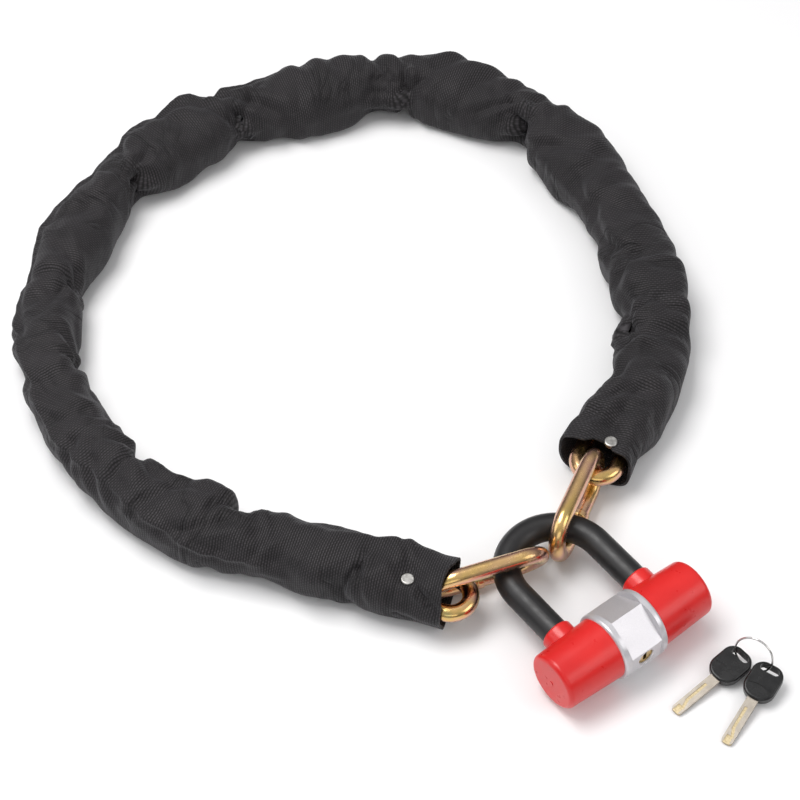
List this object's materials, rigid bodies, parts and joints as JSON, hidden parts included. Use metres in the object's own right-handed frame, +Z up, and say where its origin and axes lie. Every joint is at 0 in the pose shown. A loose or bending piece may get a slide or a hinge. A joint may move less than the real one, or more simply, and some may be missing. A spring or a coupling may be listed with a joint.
{
  "type": "chain lock",
  "caption": "Closed chain lock: U shackle in a round crossbar body with a keyed cylinder, a sleeved chain joined by two long end links, and two keys on a ring.",
  "frame": {"origin": "centre of the underside of the bounding box, on the floor the lock lies on", "axes": "+Z up from the floor; +Y away from the lock body towards the far side of the chain loop; +X to the right when seen from the lock body side"},
  "size_m": [0.5496, 0.64, 0.05],
  "materials": {
    "cover_red": "satin",
    "collar_silver": "satin",
    "dark_steel": "machined",
    "lock_brass": "machined",
    "bright_steel": "ground",
    "black_vinyl": "satin",
    "link_zinc": "yellow zinc plated",
    "end_link_zinc": "yellow zinc plated",
    "sleeve_cloth": "woven",
    "rivet_metal": "satin",
    "ring_steel": "polished",
    "key_nickel": "nickel plated",
    "key_plastic": "satin"
  },
  "bodies": {
    "lock_body": {"crossbar": "dark_steel", "end_plugs": "dark_steel", "cover_left": "cover_red", "cover_right": "cover_red", "centre_collar": "collar_silver", "cylinder_housing": "lock_brass", "driver_pins": "lock_brass", "pin_springs": "bright_steel", "cylinder_pin": "dark_steel"},
    "cylinder": {"cylinder_plug": "lock_brass", "drive_cam": "bright_steel", "plug_clip": "bright_steel", "key_pins": "lock_brass"},
    "bolt_left": {"bolt_left": "bright_steel"},
    "bolt_right": {"bolt_right": "bright_steel"},
    "shackle": {"shackle_bar": "bright_steel", "shackle_coating": "black_vinyl"},
    "end_link_a": {"end_link_a": "end_link_zinc"},
    "end_link_z": {"end_link_z": "end_link_zinc"},
    "key_ring": {"key_ring": "ring_steel"},
    "key_1": {"key_1_blade": "key_nickel", "key_1_bow": "key_plastic"},
    "key_2": {"key_2_blade": "key_nickel", "key_2_bow": "key_plastic"},
    "chain_1": {"link_01": "link_zinc", "link_02": "link_zinc", "link_03": "link_zinc", "sleeve_1": "sleeve_cloth", "rivet_a": "rivet_metal"},
    "chain_2": {"link_04": "link_zinc", "link_05": "link_zinc", "link_06": "link_zinc", "sleeve_2": "sleeve_cloth"},
    "chain_3": {"link_07": "link_zinc", "link_08": "link_zinc", "link_09": "link_zinc", "sleeve_3": "sleeve_cloth"},
    "chain_4": {"link_10": "link_zinc", "link_11": "link_zinc", "link_12": "link_zinc", "sleeve_4": "sleeve_cloth"},
    "chain_5": {"links_mid": "link_zinc", "sleeve_5": "sleeve_cloth"},
    "chain_6": {"link_16": "link_zinc", "link_17": "link_zinc", "link_18": "link_zinc", "sleeve_6": "sleeve_cloth"},
    "chain_7": {"link_19": "link_zinc", "link_20": "link_zinc", "link_21": "link_zinc", "sleeve_7": "sleeve_cloth"},
    "chain_8": {"link_22": "link_zinc", "link_23": "link_zinc", "link_24": "link_zinc", "sleeve_8": "sleeve_cloth"},
    "chain_9": {"link_25": "link_zinc", "link_26": "link_zinc", "link_27": "link_zinc", "sleeve_9": "sleeve_cloth", "rivet_z": "rivet_metal"}
  },
  "joints": [
    {"name": "shackle_slide", "type": "slide", "parent": "lock_body", "child": "shackle", "axis": [-0.6129, 0.7902, 0], "range_m": [0, 0.065]},
    {"name": "plug_turn", "type": "hinge", "parent": "lock_body", "child": "cylinder", "pos_m": [0.16677, -0.24732, 0.025], "axis": [-0.6129, 0.7902, 0], "range_deg": [0, 90]},
    {"name": "bolt_left_slide", "type": "slide", "parent": "lock_body", "child": "bolt_left", "axis": [-0.7902, -0.6129, 0], "range_m": [0, 0.0046]},
    {"name": "bolt_right_slide", "type": "slide", "parent": "lock_body", "child": "bolt_right", "axis": [0.7902, 0.6129, 0], "range_m": [0, 0.0046]},
    {"name": "link_a_swing", "type": "hinge", "parent": "shackle", "child": "end_link_a", "pos_m": [0.13237, -0.15854, 0.0245], "axis": [0, 0, 1], "range_deg": [-3.81, 3.81]},
    {"name": "bend_1", "type": "hinge", "parent": "end_link_a", "child": "chain_1", "pos_m": [0.15687, -0.10082, 0.0245], "axis": [0, 0, 1], "range_deg": [-8.46, 8.46]},
    {"name": "bend_2", "type": "hinge", "parent": "chain_1", "child": "chain_2", "pos_m": [0.20381, 0.02721, 0.0245], "axis": [0, 0, 1], "range_deg": [-12.45, 12.45]},
    {"name": "bend_3", "type": "hinge", "parent": "chain_2", "child": "chain_3", "pos_m": [0.17191, 0.18488, 0.0245], "axis": [0, 0, 1], "range_deg": [-3.96, 3.96]},
    {"name": "chain_flex", "type": "hinge", "parent": "chain_3", "child": "chain_4", "pos_m": [0.07671, 0.28035, 0.0245], "axis": [0, 0, 1], "range_deg": [-14, 14]},
    {"name": "bend_5", "type": "hinge", "parent": "chain_4", "child": "chain_5", "pos_m": [-0.08221, 0.27619, 0.0245], "axis": [0, 0, 1], "range_deg": [-5.38, 5.38]},
    {"name": "bend_6", "type": "hinge", "parent": "chain_5", "child": "chain_6", "pos_m": [-0.19328, 0.19801, 0.0245], "axis": [0, 0, 1], "range_deg": [-15.2, 15.2]},
    {"name": "bend_7", "type": "hinge", "parent": "chain_6", "child": "chain_7", "pos_m": [-0.24973, 0.04799, 0.0245], "axis": [0, 0, 1], "range_deg": [-10.53, 10.53]},
    {"name": "bend_8", "type": "hinge", "parent": "chain_7", "child": "chain_8", "pos_m": [-0.21088, -0.08134, 0.0245], "axis": [0, 0, 1], "range_deg": [-8.19, 8.19]},
    {"name": "bend_9", "type": "hinge", "parent": "chain_8", "child": "chain_9", "pos_m": [-0.07917, -0.17332, 0.0245], "axis": [0, 0, 1], "range_deg": [-13.22, 13.22]},
    {"name": "link_z_swing", "type": "hinge", "parent": "chain_9", "child": "end_link_z", "pos_m": [0.03577, -0.21142, 0.0245], "axis": [0, 0, 1], "range_deg": [-4.86, 4.86]},
    {"name": "key_ring_lift", "type": "slide", "parent": "lock_body", "child": "key_ring", "axis": [0, 0, 1], "range_m": [0, 0.04]},
    {"name": "key_1_swing", "type": "hinge", "parent": "key_ring", "child": "key_1", "pos_m": [0.24672, -0.25609, 0.00559], "axis": [-0.5754, 0.5611, 0.595], "range_deg": [0, 12]},
    {"name": "key_2_swing", "type": "hinge", "parent": "key_ring", "child": "key_2", "pos_m": [0.2637, -0.26619, 0.00844], "axis": [-0.5957, 0.1354, -0.7917], "range_deg": [0, 6]}
  ],
  "couplings": [
    {"joint": "bolt_left_slide", "follows": "plug_turn", "m_per_rad": 0.0028648},
    {"joint": "bolt_right_slide", "follows": "plug_turn", "m_per_rad": 0.0028648},
    {"joint": "link_a_swing", "follows": "chain_flex", "ratio": -0.25},
    {"joint": "bend_1", "follows": "chain_flex", "ratio": -0.5634},
    {"joint": "bend_2", "follows": "chain_flex", "ratio": -0.8319},
    {"joint": "bend_3", "follows": "chain_flex", "ratio": 0.2602},
    {"joint": "bend_5", "follows": "chain_flex", "ratio": 0.356},
    {"joint": "bend_6", "follows": "chain_flex", "ratio": -1.0177},
    {"joint": "bend_7", "follows": "chain_flex", "ratio": -0.7029},
    {"joint": "bend_8", "follows": "chain_flex", "ratio": 0.545},
    {"joint": "bend_9", "follows": "chain_flex", "ratio": 0.8838},
    {"joint": "link_z_swing", "follows": "chain_flex", "ratio": 0.3209}
  ]
}
